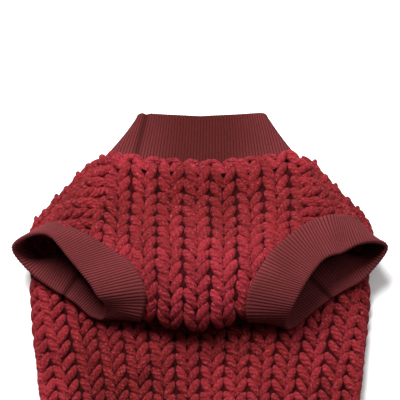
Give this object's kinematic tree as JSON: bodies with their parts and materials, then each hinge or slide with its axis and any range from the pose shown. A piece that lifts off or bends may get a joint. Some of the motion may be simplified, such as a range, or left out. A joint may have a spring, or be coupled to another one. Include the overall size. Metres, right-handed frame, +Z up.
{
  "type": "dog sweater",
  "caption": "Short-sleeved chunky-knit sweater for a small dog, laid flat belly side up, with a ribbed collar and ribbed leg cuffs.",
  "frame": {"origin": "on the surface the sweater lies on, under the middle of its bounding box", "axes": "+Y from the hem towards the neck, +Z up out of the belly side, +X to the right seen from above with the neck at the top"},
  "size_m": [0.2427, 0.3384, 0.0413],
  "materials": {
    "knit": "thick soft red yarn in plain knit with wide columns, faintly pink in places",
    "rib": "fine dull maroon rib knit, doubled"
  },
  "bodies": {
    "root": {"front_panel": "knit", "back_panel": "knit", "shoulder_left": "knit", "shoulder_right": "knit", "cuff_left": "rib", "cuff_right": "rib", "collar": "rib"}
  },
  "joints": []
}
